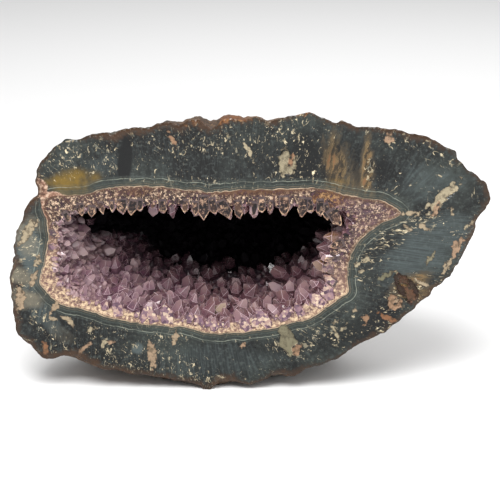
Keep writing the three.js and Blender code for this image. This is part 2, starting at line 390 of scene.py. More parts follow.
def rind_row(k):
    """The ring where rays towards the middle of the face meet the solid's rind."""
    angle = k / RIND_ROWS * math.pi / 2
    flat = thinned(outer, k / RIND_ROWS) - STONE_MIDDLE
    flat = flat / np.linalg.norm(flat, axis=1)[:, None] * math.cos(angle)
    ways = [Vector((x, math.sin(angle), z)) for x, z in flat]
    return np.array([shell_tree.ray_cast(middle_of_face + way * FAR_OUTSIDE, -way)[0] for way in ways])


wall_rows = hollow_rows(outwards(inner, ROCK_GAP), CRUST_DEPTH + ROCK_GAP, WALL_ROWS)[::-1]
face_rows = [on_face(inner + (outer - inner) * (k / FACE_ROWS)) for k in range(FACE_ROWS + 1)]
rind_rows = [rind_row(k) for k in range(1, RIND_ROWS)] + [rind_row(RIND_ROWS).mean(axis=0)[None]]
rock_rows = wall_rows + face_rows + rind_rows
rock_points, rock_faces, rock_after = woven(rock_rows)
first_face_row = len(wall_rows)
first_rind_row = first_face_row + FACE_ROWS
row_of_point = row_numbers(rock_rows)
print("rock", len(rock_points), "points,", triangles(rock_faces), "triangles")


# %% Relax the rind and raise its knobs
REST_ROWS, RELIEF_ROWS = 16, 5  # rows behind the rim over which the relaxing and the relief come in
RELAX_PASSES = 14
RELIEF_SEED = 3
TOP_FROM = 127 * MM
SHOWS_ABOVE_RIM = 0.8 * MM
PRESS = 0.4  # the share that is pressed down of what stands higher


def relaxed(points, faces, weight, passes):
    """Draws each point towards the mean of its neighbours, as far as its weight lets it."""
    edges = np.array([(f[i], f[(i + 1) % len(f)]) for f in faces for i in range(len(f))])
    count = np.zeros(len(points))
    np.add.at(count, edges[:, 0], 1)
    for _ in range(passes):
        total = np.zeros_like(points)
        np.add.at(total, edges[:, 0], points[edges[:, 1]])
        points = points + (total / count[:, None] - points) * weight[:, None] * 0.5
    return points


def eased(value, low, high):
    """0 below low, 1 above high and smooth between them."""
    t = np.clip((value - low) / (high - low), 0, 1)
    return t * t * (3 - 2 * t)


def rind_height(point):
    """Height of the rind's relief at a point, in metres: knobs, creases between them and grit."""
    bend = noise.noise_vector(point / (12 * MM)) * 0.25
    first, second = noise.voronoi(point / (15 * MM) + bend)[0][:2]
    knob = 1 - min(first, 1) ** 2
    crease = 1 - min((second - first) / 0.22, 1)
    small = 1 - min(noise.voronoi(point / (6.5 * MM) + Vector((9, 2, 4)))[0][0], 1) ** 2
    grit = noise.noise(point / (2.6 * MM))
    swell = noise.noise(point / (31 * MM))
    return (4.2 * (knob - 0.7) - 1.5 * crease**2 + 2.6 * (small - 0.7) + 1.1 * grit + 2.2 * swell) * MM


noise.seed_set(RELIEF_SEED)  # noise_vector's offsets are drawn with it
behind_rim = row_of_point - first_rind_row
rock_points = relaxed(rock_points, rock_faces, eased(behind_rim, 0, REST_ROWS), RELAX_PASSES)
relief = eased(behind_rim, 0, RELIEF_ROWS)
for i in np.flatnonzero(relief):
    point = Vector(rock_points[i])
    away = (point - middle_of_face).normalized()
    rock_points[i] = point + away * rind_height(point) * relief[i]

# The photo shows hardly any rind above the rim, so what would rise into view behind it is pressed down
upper_rim = rim[rim[:, 1] > TOP_FROM]
upper_rim = upper_rim[upper_rim[:, 0].argsort()]
fall = math.tan(math.radians(CAMERA_RISE)) * (rock_points[:, 1] - FACE_Y)
ceiling = np.interp(rock_points[:, 0], *upper_rim.T) - fall + SHOWS_ABOVE_RIM
is_top = (behind_rim > 0) * eased(rock_points[:, 2], TOP_FROM, TOP_FROM + 8 * MM)
rock_points[:, 2] -= PRESS * is_top * np.maximum(rock_points[:, 2] - ceiling, 0)
rock_points[:, 2] = np.maximum(rock_points[:, 2], 0)
print("highest point mm", round(rock_points[:, 2].max() / MM, 1))

# %% [markdown]
# ## What lies in the rock
# The photo shows coarse pieces of another mineral in the agate, some of them plucked out by the
# polish, and soft stains. Each is a row in a table: a place and a size on the face. Every point
# of the face then keeps its distance to the nearest such edge, and the material turns that
# distance into a ragged shape, so the mesh needs no picture.

# %% What lies in the rock
INCLUSIONS = [  # x, height, half length, half width, turn in degrees, tone 0 to 1, depth, all in mm
    (-46, 166, 5, 1.5, -56, 0.62, 0.2), (24.5, 151, 9, 5.3, 84, 0.24, 1.0),
    (27.2, 153, 4.6, 1.7, 78, 0.66, 0.7), (121.5, 129.3, 13, 3.8, 50, 0.3, 0.8),
    (117.4, 121, 6, 1.7, 75, 0.5, 0.2), (112.5, 124.5, 3, 1.6, 30, 0.3, 0.1),
    (100.4, 69.5, 11.5, 5.6, 116, 1.0, 1.2), (98.6, 74, 4.6, 3.0, 110, 0.95, 1.6),
    (103, 65, 5.6, 3.2, 118, 0.92, 0.9), (93, 59.4, 5.6, 4.6, 20, 0.58, 0.9),
    (94.6, 60.6, 2.6, 1.8, 60, 0.45, 0.7), (89.4, 49.3, 5.8, 2.2, -25, 0.8, 0.3),
    (26.2, 33.5, 10, 6.3, 110, 0.12, 0.7), (31.5, 27.5, 4.2, 3, 60, 0.6, 0.7),
    (-61, 24, 8.6, 3.5, 98, 0.44, 0.7), (-137, 106.5, 9, 3.3, 58, 0.33, 0.6),
    (-131, 112, 2.6, 1.4, 60, 0.35, 0.1), (-132, 87, 3.4, 2, 62, 0.35, 0.2),
    (-134.4, 76, 6.3, 1.9, 66, 0.4, 0.2), (-144, 62, 8, 3.4, 76, 0.42, 0.4),
    (-122, 56.5, 5, 2, 62, 0.42, 0.2), (-124, 49, 3.6, 2.2, -30, 0.36, 0.2),
    (-112.7, 46.5, 4.8, 1.9, -52, 0.36, 0.2), (-100.2, 41, 3.9, 1.4, 12, 0.28, 0.1),
    (-92, 31, 3.2, 2, 78, 0.3, 0.2), (-104, 28.8, 5.8, 1.6, 50, 0.5, 0.2),
    (-86.4, 33, 2.2, 1.5, 0, 0.5, 0.1), (-46, 36, 6.5, 1.7, 74, 0.4, 0.2),
    (-128.8, 27.4, 4.8, 2.6, 108, 0.76, 0.3), (109.7, 109.8, 4, 2.1, -18, 0.36, 0.2),
    (100.5, 109.5, 2.6, 1.7, -45, 0.36, 0.2), (126.2, 85, 6.5, 2, 60, 0.36, 0.2),
    (131.5, 97, 8, 2.4, 62, 0.5, 0.3), (114.7, 89.5, 4.3, 1.7, 50, 0.14, 0.1),
    (88.7, 78, 5.5, 2.1, 20, 0.08, 0.2), (75.5, 48, 3.3, 2.2, 62, 0.62, 0.3),
    (67.7, 54.7, 2.7, 1.4, -40, 0.36, 0.1), (57.2, 37.7, 6.6, 1.5, -55, 0.3, 0.2),
    (-2.7, 31, 2.8, 1, 84, 0.5, 0.1), (0.5, 159.3, 5, 1.5, -60, 0.3, 0.1),
    (86.9, 166.5, 3.6, 2.9, 20, 0.5, 0.2), (55.8, 46.5, 2.8, 1.1, 10, 0.3, 0.1),
    (61.6, 42.5, 3.2, 1.3, 50, 0.3, 0.1), (102, 118.6, 6.5, 1.7, 4, 0.36, 0.1),
    (127, 120.5, 3.4, 1.6, -70, 0.33, 0.1), (140, 112, 4.6, 1.5, 40, 0.3, 0.1),
    (69, 85.5, 2.4, 2, 20, 0.3, 0.1), (75, 88.5, 2.8, 1.9, 60, 0.28, 0.1),
    (71, 80.5, 2.2, 1.6, 20, 0.3, 0.1), (110, 73, 5, 1.1, -30, 0.36, 0.2),
    (-93, 121.5, 1.5, 1, 0, 0.3, 0.1),
]
STAINS = {  # for each stain: x, height, half width, half height in mm, turn in degrees, strength
    "olive": [(-108, 138, 20, 10, 3, 1), (-62, 138, 22, 4, 0, 0.25), (58, 138, 14, 5, -8, 0.3)],
    "smoke": [
        (-75, 154, 4.4, 17, -3, 2.2), (26, 157, 36, 14, 0, 0.6), (-74, 138, 4, 5, 0, 0.4),
        (36, 152, 16, 21, 0, 0.95), (67, 150, 3.4, 15, 4, 0.6), (46.5, 146, 2.6, 12, 8, 0.9),
        (83, 148, 6, 15, 0, 0.7), (78, 44, 32, 15, 35, 0.75), (20, 30, 22, 10, 0, 0.5),
    ],
    "rust": [
        (54, 145, 12, 34, -3, 1.1), (74, 147, 7, 24, 0, 1.1), (65, 141, 14, 20, 0, 0.85),
        (64, 132, 24, 8, -10, 0.9), (102, 71, 17, 12, 30, 1.1), (112, 64, 13, 8, 35, 1.0),
    ],
    "pale": [
        (-140, 104, 9, 17, 25, 0.9), (-145, 78, 7, 14, 80, 1.0), (-140, 62, 9, 12, 80, 1.0),
        (-133, 112, 7, 9, 60, 0.6), (-118, 38, 14, 8, -35, 0.3),
    ],
    "haze": [
        (-137, 95, 9, 30, 20, 1.8), (-128, 50, 9, 16, 30, 0.8), (107, 92, 30, 22, 20, 0.9),
        (128, 106, 18, 20, 0, 0.8), (112, 138, 30, 16, -25, 0.55), (-70, 28.5, 4.5, 4, 0, 1.6),
        (-137, 70, 5, 6, 60, 0.9), (-88, 150, 14, 9, 0, 0.5), (-20, 20, 62, 15, 0, 0.5),
    ],
    "vein": [
        (-128, 135, 10, 4.5, -60, 1.5), (-134, 128.5, 7, 2, 20, 1.3),
        (-125.5, 121, 9, 2.4, -80, 1.3), (-121, 130.5, 10, 2.6, -5, 1.3),
    ],
    "plain": [
        (-14, 25, 30, 12, -8, 0.3), (-112, 53, 14, 15, 50, 0.5), (109, 92, 22, 16, 20, 0.4),
        (62, 148, 14, 22, 0, 0.5), (-75, 154, 5, 16, 0, 0.35), (96, 152, 22, 14, -10, 0.3),
        (120, 130, 26, 20, -20, 0.2), (60, 22, 40, 12, 20, 0.2), (-30, 148, 40, 9, 0, 0.25),
        (-100, 136, 24, 7, 0, 0.4),
    ],
    "clay": [
        (-115, 165, 9, 5, 0, 1.2), (-33, 174, 9, 5, 0, 0.9), (-8, 178, 22, 5, 0, 1.2),
        (37, 182, 14, 6, 0, 1.4), (86, 168, 7, 4, 0, 0.7), (133, 145, 10, 5, -45, 1),
        (136, 96, 6, 10, 25, 0.8), (-143, 35, 9, 5, -50, 0.4),
    ],
}


def within(points, oval):
    """How far out of an oval points lie, in its half sizes: 0 in the middle, 1 at its wavy edge."""
    px, pz, long, wide, degrees = oval[:5]
    x, z = points[:, 0] / MM - px, points[:, 2] / MM - pz
    c, s = math.cos(math.radians(degrees)), math.sin(math.radians(degrees))
    u, v = (x * c + z * s) / long, (z * c - x * s) / wide
    angle = np.arctan2(v, u)
    wave = 0.13 * np.sin(2 * angle + px) + 0.1 * np.sin(3 * angle + pz) + 0.06 * np.sin(5 * angle)
    return np.hypot(u, v) / (1 + wave)


def stained_by(points, rows, start=0.35, end=1.25):
    """The strength of the strongest oval at each point, fading out round its edge."""
    return np.max([row[5] * (1 - eased(within(points, row), start, end)) for row in rows], axis=0)


def tree_of(curve):
    """A search tree of the points of a closed curve, at y = 0."""
    dense = np.vstack([curve, (curve + np.roll(curve, -1, axis=0)) / 2])
    tree = KDTree(len(dense))
    for i, (x, z) in enumerate(dense):
        tree.insert((x, 0, z), i)
    tree.balance()
    return tree


def nearest(tree, points):
    """Distance in mm from each point, seen from the front, to the tree's curve."""
    return np.array([tree.find((x, 0, z))[2] for x, _, z in points]) / MM


PIT_GRAIN = 1.7 * MM
CHIP_DEPTH = 0.7 * MM
CHIP_REACH = 1.2  # mm from the rim

on_cut = (row_of_point >= first_face_row) & (row_of_point <= first_rind_row)
inclusion = np.full(len(rock_points), -9.0)
tone, sunk, edge, across = np.zeros((4, len(rock_points)))
for row in INCLUSIONS:
    signed = (1 - within(rock_points, row)) * row[3]
    closer = (signed > inclusion) | (signed > 0)
    inclusion[closer] = signed[closer]
    tone[closer] = row[5]
    sunk[closer] = row[6]
stain = {name: stained_by(rock_points, rows) for name, rows in STAINS.items()}
grain = np.array([noise.noise(p / PIT_GRAIN) for p in rock_points])
depth = sunk * eased(inclusion, -0.1, 0.9) * (1 + 0.35 * grain) * MM
line_tree = tree_of(crust_line)
across[on_cut] = nearest(line_tree, rock_points[on_cut])
edge[on_cut] = nearest(tree_of(rim), rock_points[on_cut])
chip = CHIP_DEPTH * (1 - eased(edge, 0, CHIP_REACH)) * (0.6 + grain)
rock_points[:, 1] += np.where(on_cut, depth + np.maximum(chip, 0), 0)
print("inclusions", len(INCLUSIONS), "deepest pit mm", round(depth[on_cut].max() / MM, 2))

# %% [markdown]
# ## Colours and nodes
# Colours are written as screen hex values and one function turns them to linear light. One small
# function adds a node with its settings and links, and another lays one colour over the next. A
# pattern's scale comes from a real size: a pattern of 5 mm has 200 repeats in a metre.

# %% Colours and nodes
MIX_FACTOR, MIX_A, MIX_B, MIX_RESULT = 0, 6, 7, 2  # sockets of a Mix node that mixes colours


def linear(hex_colour):
    """A screen colour such as 8a6f94 as linear light."""
    channels = [int(hex_colour[i : i + 2], 16) / 255 for i in (0, 2, 4)]
    light = [c / 12.92 if c <= 0.04045 else ((c + 0.055) / 1.055) ** 2.4 for c in channels]
    return (*light, 1.0)


def per_metre(size):
    """How many repeats of a pattern of this size in mm fit in a metre."""
    return 1 / (size * MM)


def add(tree, kind, inputs=(), stops=(), **settings):
    """Adds a node. Inputs go by order or by name, and a node given as one stands for its first output."""
    node = tree.nodes.new("ShaderNode" + kind)
    for name, value in settings.items():
        setattr(node, name, value)
    for name, value in inputs.items() if isinstance(inputs, dict) else enumerate(inputs):
        value = value.outputs[0] if isinstance(value, bpy.types.Node) else value
        if isinstance(value, bpy.types.NodeSocket):
            tree.links.new(value, node.inputs[name])
        else:
            node.inputs[name].default_value = value
    while stops and len(node.color_ramp.elements) < len(stops):
        node.color_ramp.elements.new(1)
    for i, (spot, colour) in enumerate(stops):
        node.color_ramp.elements[i].position = spot
        node.color_ramp.elements[i].color = linear(colour)
    return node


def layered(tree, colour, layers):
    """Colours over a colour: each layer has a mask, where it starts and ends, a strength and a tint."""
    for mask, start, end, strength, tint in layers:
        amount = add(tree, "MapRange", [mask, start, end, 0, strength])
        tint = linear(tint) if isinstance(tint, str) else tint
        colour = add(
            tree, "Mix", {MIX_FACTOR: amount, MIX_A: colour, MIX_B: tint}, data_type="RGBA"
        ).outputs[MIX_RESULT]
    return colour


def new_material(name, marks=()):
    """An empty material, its node tree, the place on the object and the numbers kept at its points."""
    material = bpy.data.materials.new(name)
    material.use_nodes = True
    tree = material.node_tree
    tree.nodes.clear()
    place = add(tree, "TexCoord").outputs["Object"]
    kept = [add(tree, "Attribute", attribute_name=mark).outputs["Fac"] for mark in marks]
    return material, tree, place, *kept


# %% [markdown]
# ## Polished agate rock
# The dark rock is a blue-grey agate full of short cream flecks. Quartz has an IOR of 1.54, and a
# fine polish has a roughness of about 0.2. The flecks lie along the spokes, so their pattern uses
# two measures that each point keeps: how far along the crust line its spoke starts and how far
# across the rock it lies. The white agate bands follow the second one.

# %% Polished agate rock
rock_face, tree, place, along_mark, across_mark, edge_mark, in_inclusion, tone_mark, *kept = new_material(
    "polished_dark_agate", ["along", "across", "edge", "inclusion", "tone", *STAINS]
)
stained = dict(zip(STAINS, kept))
NOISES = [  # size in mm, detail and roughness
    (38, 5, 0.62), (2.4, 4, 0.7), (3.2, 2, 0.5), (9, 6, 0.7),
    (23, 3, 0.5), (5.5, 2, 0.5), (16, 6, 0.62), (3.2, 5, 0.75),
]
clouds, speckle, warp, chalk, patches, gaps, wobble, chalky = (
    add(tree, "TexNoise", {"Vector": place, "Scale": per_metre(size), "Detail": detail, "Roughness": rough})
    for size, detail, rough in NOISES
)
spoke_place = add(tree, "CombineXYZ", [along_mark, across_mark])


def stretched(wide, long, bend=0):
    """The place on the spokes in units of a grain of this size in mm, bent by the chalk."""
    grain_size = (1 / wide, 1 / long, 0)
    grain_place = add(tree, "VectorMath", [spoke_place, grain_size], operation="MULTIPLY")
    chalk_place = [chalk.outputs["Color"], (bend, bend, 0), grain_place]
    return add(tree, "VectorMath", chalk_place, operation="MULTIPLY_ADD")


fibres = add(tree, "TexNoise", {"Vector": stretched(0.9, 16), "Scale": 1, "Detail": 3})
veil_place = stretched(3.2, 11, 1.5)
veils = add(tree, "TexNoise", {"Vector": veil_place, "Scale": 1, "Detail": 8, "Roughness": 0.78})
curl = add(tree, "TexNoise", {"Vector": stretched(4.2, 7.5), "Scale": 1, "Detail": 1.5})
near_crust = add(tree, "Math", [speckle, 9, across_mark], operation="MULTIPLY_ADD")
near_edge = add(tree, "Math", [speckle, 9, edge_mark], operation="MULTIPLY_ADD")
near_edge = add(tree, "Math", [stained["pale"], 2.6, near_edge], operation="MULTIPLY_ADD")
near_edge = add(tree, "Math", [clouds, 14, near_edge], operation="MULTIPLY_ADD")
rust_cloud = add(tree, "Math", [veils, 3.2, stained["rust"]], operation="MULTIPLY_ADD")
unveiled = add(tree, "Math", [1, veils], operation="SUBTRACT")
olive_chalk = add(tree, "Math", [chalk, 2.6, -0.45], operation="MULTIPLY_ADD")
PRODUCTS = [
    (stained["rust"], veils), (stained["rust"], unveiled), (stained["pale"], chalk),
    (stained["olive"], olive_chalk), (stained["haze"], fibres), (stained["vein"], speckle),
]
rust_streaks, rust_gaps, pale_cloud, olive_cloud, hazy, veined = (
    add(tree, "Math", pair, operation="MULTIPLY") for pair in PRODUCTS
)
ground = add(tree, "ValToRGB", [clouds], [(0.38, "0b0c0c"), (0.5, "191c1b"), (0.62, "2b302d")])
colour = layered(tree, ground, [
    (speckle, 0.52, 0.64, 0.5, "4a504d"),
    (speckle, 0.46, 0.36, 0.45, "070909"),
    (fibres, 0.52, 0.7, 0.22, "474f50"),
    (hazy, 0.12, 0.62, 0.7, "4f5959"),
    (pale_cloud, 0.08, 0.55, 0.75, "746e5f"),
    (rust_cloud, 2.05, 2.45, 0.8, "443b2d"),
    (rust_streaks, 0.44, 0.56, 0.7, "75603f"),
    (rust_streaks, 0.58, 0.68, 0.6, "7d4a2a"),
    (rust_gaps, 0.5, 0.58, 0.7, "14110d"),
    (stained["smoke"], 0.1, 1.0, 0.92, "050607"),
    (olive_cloud, 0.12, 0.95, 0.95, "6e571c"),
    (near_crust, 12, 7, 0.5, "2f3631"),
])

# %% Flecks, streaks and bands
FLECK_PATCHES = 0.6  # how much more crowded the flecks are in some patches than in others
FLECKS = [  # width and length in mm, the share of cells without one, its reach, a shift of the cells
    (1.4, 3.2, 0.7, 1.2, 0), (2.6, 5.2, 0.84, 2.3, 40), (0.8, 1.6, 0.72, 1.1, 90),
]
spread = add(tree, "Math", [patches, FLECK_PATCHES, stained["plain"]], operation="MULTIPLY_ADD")
marks = 0
for wide, long, rare, reach, shift in FLECKS:
    cell_size, cell_shift = (1 / wide, 1 / long, 0), (shift, shift, 0)
    scaled = add(tree, "VectorMath", [spoke_place, cell_size, cell_shift], operation="MULTIPLY_ADD")
    bent = add(tree, "VectorMath", [warp.outputs["Color"], (2.6, 2.2, 0), scaled], operation="MULTIPLY_ADD")
    cells = add(tree, "TexVoronoi", {"Vector": bent, "Scale": 1}, voronoi_dimensions="2D")
    lots = add(tree, "SeparateColor", [cells.outputs["Color"]])
    crowd = add(tree, "Math", [spread, rare - 0.5 * FLECK_PATCHES], operation="ADD")
    size = add(tree, "Math", [lots, crowd], operation="SUBTRACT")
    size = add(tree, "Math", [size, reach], operation="MULTIPLY")
    inside = add(tree, "Math", [size, cells], operation="SUBTRACT")
    bright = add(tree, "MapRange", [lots.outputs["Green"], 0, 1, 0.12, 1])
    fleck = add(tree, "MapRange", [inside, -0.02, 0.1, 0, bright])
    marks = add(tree, "Math", [marks, fleck], operation="MAXIMUM")

# Streaks: short pieces of the curves where a stretched noise crosses its middle value
from_middle = add(tree, "Math", [curl, 0.5], operation="SUBTRACT")
from_middle = add(tree, "Math", [from_middle], operation="ABSOLUTE")
curve_line = add(tree, "MapRange", [from_middle, 0.004, 0.018, 1, 0])
crowded_piece = add(tree, "Math", [spread, -0.35, gaps], operation="MULTIPLY_ADD")
present = add(tree, "MapRange", [crowded_piece, 0.455, 0.52, 0, 0.9])
streak = add(tree, "Math", [curve_line, present], operation="MULTIPLY")
marks = add(tree, "Math", [marks, streak], operation="MAXIMUM")
clear_of_bands = add(tree, "MapRange", [across_mark, 3.0, 9.0, 0.25, 1])
marks = add(tree, "Math", [marks, clear_of_bands], operation="MULTIPLY")
fleck_tint = add(tree, "ValToRGB", [warp], [(0.4, "6b6a5e"), (0.5, "a39477"), (0.6, "dccdac")])
colour = layered(tree, colour, [(marks, 0, 1, 1, fleck_tint)])

BANDS = [  # distance from the crust line and half width in mm, strength and colour
    (0.3, 0.5, 0.95, "bfa58a"), (1.7, 0.5, 0.4, "7d705d"), (3.0, 0.5, 0.3, "656d66"),
    (5.3, 0.4, 0.75, "8f9487"), (6.6, 0.5, 0.25, "5f665f"),
]
WOBBLE = 1.6  # mm that a band swings
broken = add(tree, "MapRange", [chalk, 0.42, 0.55, 0.3, 1])
band_place = add(tree, "Math", [wobble, WOBBLE, across_mark], operation="MULTIPLY_ADD")
for distance, half_width, strength, tint in BANDS:
    offset = add(tree, "Math", [band_place, distance + WOBBLE / 2], operation="SUBTRACT")
    apart = add(tree, "Math", [offset], operation="ABSOLUTE")
    line = add(tree, "MapRange", [apart, 0, half_width, 1, 0])
    line = add(tree, "Math", [line, broken], operation="MULTIPLY")
    colour = layered(tree, colour, [(line, 0, 1, strength, tint)])

# %% Vein, inclusions and the weathered edge
in_mineral = add(tree, "Math", [warp, 6.4, -3.3], operation="MULTIPLY_ADD")
in_mineral = add(tree, "Math", [in_inclusion, in_mineral], operation="ADD")
mineral_mask = add(tree, "MapRange", [in_mineral, -0.05, 0.08, 0, 1])
mineral = add(tree, "ValToRGB", [tone_mark], [
    (0.05, "5f5d48"), (0.3, "9f937a"), (0.5, "987d65"), (0.78, "7f583c"), (0.93, "553a2a"), (1.0, "2c1d17"),
])
mineral = layered(tree, mineral, [
    (chalky, 0.53, 0.42, 0.6, "3a3226"),
    (in_mineral, 0.8, 0.15, 0.75, "2c211a"),
])
margin = layered(tree, linear("1f1611"), [(chalk, 0, 1, 1, "4f3826")])
clay_edge = add(tree, "MapRange", [near_edge, 16.4, 11.9, 0, 1])
clay_edge = add(tree, "Math", [clay_edge, stained["clay"]], operation="MULTIPLY")
clay_edge = add(tree, "Math", [clay_edge, chalk], operation="MULTIPLY")
clay_tint = add(tree, "ValToRGB", [chalky], [(0.4, "3a2517"), (0.5, "6b452b"), (0.6, "9a7048")])
vein_tint = add(tree, "ValToRGB", [speckle], [(0.38, "5a3a2e"), (0.5, "8f6b58"), (0.62, "c0a48e")])
colour = layered(tree, colour, [
    (veined, 0.28, 0.5, 0.95, vein_tint),
    (mineral_mask, 0, 1, 0.96, mineral),
    (near_edge, 15.3, 11.5, 0.92, margin),
    (clay_edge, 0.36, 0.62, 0.9, clay_tint),
])
matt = add(tree, "Math", [mineral_mask, marks], operation="MAXIMUM")
gloss = add(tree, "MapRange", [matt, 0, 1, 0.2, 0.6])
height = add(tree, "Math", [chalky, mineral_mask], operation="MULTIPLY")
bump = add(tree, "Bump", {"Height": height, "Strength": 0.7, "Distance": 0.8 * MM})
shader = add(tree, "BsdfPrincipled", {
    "Base Color": colour, "Roughness": gloss, "IOR": 1.54, "Specular IOR Level": 0.25, "Normal": bump,
})
add(tree, "OutputMaterial", {"Surface": shader})
print("rock material nodes", len(tree.nodes))

# %% [markdown]
# ## Weathered rind
# The outside is the old wall of the bubble: lava gone brown with iron, chalky and quite matt, so
# its roughness is about 0.85. Rusty clay still sits in its hollows. The grit of 1 to 3 mm is a
# bump, because the knobs themselves are already in the mesh.

# %% Weathered rind
rind, tree, place, clay_mark = new_material("weathered_lava_rind", ["clay"])
patches, grit, clods, lava = (
    add(tree, "TexNoise", {"Vector": place, "Scale": per_metre(size), "Detail": detail, "Roughness": rough})
    for size, detail, rough in [(26, 6, 0.65), (2.2, 5, 0.75), (5, 6, 0.75), (60, 3, 0.5)]
)
pores = add(tree, "TexVoronoi", {"Vector": place, "Scale": per_metre(3.1)})
ground = add(tree, "ValToRGB", [patches], [
    (0.36, "2a211b"), (0.47, "3b2c23"), (0.56, "4d3a2b"), (0.66, "654d38"),
])
clayey = add(tree, "Math", [clay_mark, clods], operation="MULTIPLY")
colour = layered(tree, ground, [
    (grit, 0.52, 0.62, 0.55, "8a6d50"),
    (grit, 0.47, 0.38, 0.7, "16110f"),
    (lava, 0.52, 0.64, 0.6, "444840"),
    (lava, 0.48, 0.38, 0.5, "6b543d"),
    (clods, 0.54, 0.64, 0.6, "6e4a2e"),
    (clayey, 0.48, 0.66, 0.8, "6e4629"),
])
height = add(tree, "Math", [pores, 0.4, grit], operation="MULTIPLY_ADD")
bump = add(tree, "Bump", {"Height": height, "Strength": 0.9, "Distance": 1.2 * MM})
shader = add(tree, "BsdfPrincipled", {"Base Color": colour, "Roughness": 0.85, "IOR": 1.5, "Normal": bump})
add(tree, "OutputMaterial", {"Surface": shader})

# %% Build the rock
is_face = (rock_after >= first_face_row) & (rock_after < first_rind_row)
rock = new_skin("geode_rock", rock_points, rock_faces, [rock_face, rind], ~is_face, ~is_face)
keep(rock, along=along_rows(rock_rows), across=across, edge=edge)
keep(rock, inclusion=inclusion, tone=tone, **stain)
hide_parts("stone_shell")
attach(rock, "root")
print("rock triangles", triangles([p.vertices for p in rock.data.polygons]))

# %% [markdown]
# ## The druse bed
# Amethyst starts as a layer of many small grains on the rock. Only the grains that point
# inwards grow on, so the crust is granular outside and pointed inside. The bed is that layer:
# its front is the sawn section, from the crust line to the lip of the hollow, and its inside is
# covered with small grains in the mesh. The large points stand on it.

# %% The druse bed
LIP = [  # where the crust ends on the cut, x and height in mm, clockwise from the left
    (-119, 106), (-117, 114), (-104, 121), (-85, 124), (-60, 125), (-29, 124), (2, 124.5),
    (33, 124.5), (54, 122), (68, 115), (60, 105), (56, 95), (52, 85), (52, 73), (45, 62),
    (30, 54), (10, 48), (-11, 45.5), (-30, 46), (-49, 49), (-68, 51), (-87, 55),
    (-102, 59.5), (-115, 67), (-122, 78), (-120, 95),
]
LIP_PAIRS = [  # on the crust line, on the lip
    ((-129, 79), (-122, 80)), ((-126, 120), (-119, 108)), ((-123, 129), (-117, 115)),
    ((-97, 132), (-95, 121.5)), ((-49, 135), (-49, 122.5)), ((2, 134), (2, 122)),
    ((45, 134), (40, 122)), ((83, 127), (60, 119)), ((96, 119), (68, 115)),
    ((82, 111), (64, 110)), ((64, 87), (54, 91)), ((63, 67), (50, 70)), ((47, 54), (41, 59)),
    ((24, 45), (24, 52)), ((-19, 39), (-16, 45.5)), ((-63, 45), (-60, 50.5)),
    ((-105, 56), (-100, 59)), ((-127, 68), (-119, 72)),
]
SECTION_ROWS = 16
BED_ROWS = 64
CRUST_WALL = 13 * MM
GRAIN_SIZE = 4.2
SECTION_BEHIND = 0.08 * MM  # the sawn ends of large points stand this far in front of the section

lip_curve = roughened(splined(np.array(LIP) * MM), [(6, 2.2), (2.4, 1.2)])
lip_pairs = np.array(LIP_PAIRS) * MM
known = shares_near(crust_line, lip_pairs[:, 0])
shares = np.mod(spoke_crust - known[0], 1) + known[0]
lip = points_at(lip_curve, followed(shares, known, shares_near(lip_curve, lip_pairs[:, 1])))
crust_rim = outwards(inner, -0.15 * MM)

outside = hollow_rows(crust_rim, CRUST_DEPTH, WALL_ROWS)[::-1]
steps = [k / SECTION_ROWS for k in range(SECTION_ROWS + 1)]
section = [on_face(crust_rim + (lip - crust_rim) * step, SECTION_BEHIND) for step in steps]
bed_rows = outside + section + hollow_rows(lip, CRUST_DEPTH - CRUST_WALL, BED_ROWS)
bed_points, bed_faces, bed_after = woven(bed_rows)
bed_row = row_numbers(bed_rows)
first_section, first_inside = len(outside), len(outside) + SECTION_ROWS
print("bed triangles", triangles(bed_faces))


# %% Ground to grow on
def centres_and_normals(points, faces):
    """Middle, normal and area of each face, with the normals turned towards the hollow."""
    ends = np.array([(f[0], f[1], f[2], f[-1]) for f in faces])
    a, b, c, d = (points[ends[:, k]] for k in range(4))
    is_triangle = ends[:, 2] == ends[:, 3]
    normal = np.cross(c - a, d - b)
    normal[is_triangle] = np.cross(b - a, c - a)[is_triangle]
    area = np.linalg.norm(normal, axis=1)
    centre = (a + b + c + d) / 4
    outward = ((hollow_axis(centre) - centre) * normal).sum(axis=1) < 0
    return centre, normal / area[:, None] * np.where(outward, -1, 1)[:, None], area


def lowness(places):
    """0 in the roof of the crust and 1 in its bottom and its left wall, which are paler."""
    return 1 - eased((places[:, 2] + 0.12 * places[:, 0]) / MM, 70, 112)


def cell_distance(spot, size):
    """How far from the middle of its cell a place is, in cells of this size in mm, at most 1."""
    return min(noise.voronoi(Vector(spot) / (size * MM))[0][0], 1)


inside_faces = [bed_faces[i] for i in np.flatnonzero(bed_after >= first_inside)]
ground_centre, ground_normal, ground_area = centres_and_normals(bed_points, inside_faces)
ground_tree = BVHTree.FromPolygons([Vector(p) for p in bed_points], inside_faces)
lift = np.zeros((len(bed_points), 1))
for i in np.flatnonzero(bed_row > first_inside):
    grown = 0.55 * (0.75 - cell_distance(bed_points[i], GRAIN_SIZE))
    lift[i] = (grown + 0.25 * (0.7 - cell_distance(bed_points[i], 1.9))) * GRAIN_SIZE * MM
inward = hollow_axis(bed_points) - bed_points
bed_points = bed_points + lift * inward / np.linalg.norm(inward, axis=1)[:, None]
bed_across = np.full(len(bed_points), 30.0)
in_section = (bed_row >= first_section) & (bed_row <= first_inside)
bed_across[in_section] = nearest(line_tree, bed_points[in_section])
bed_low = lowness(bed_points)
for i in np.flatnonzero(in_section):
    chipped = max(bed_low[i], eased(bed_points[i, 0] / MM, 48, 62))
    roughness = eased(bed_across[i], 0.5, 2.5) * (0.25 + 0.75 * chipped)
    bed_points[i, 1] += roughness * cell_distance(bed_points[i], 2.4) * 1.1 * MM
print("ground faces", len(inside_faces), "area cm2", round(ground_area.sum() / 1e-4 / 2))

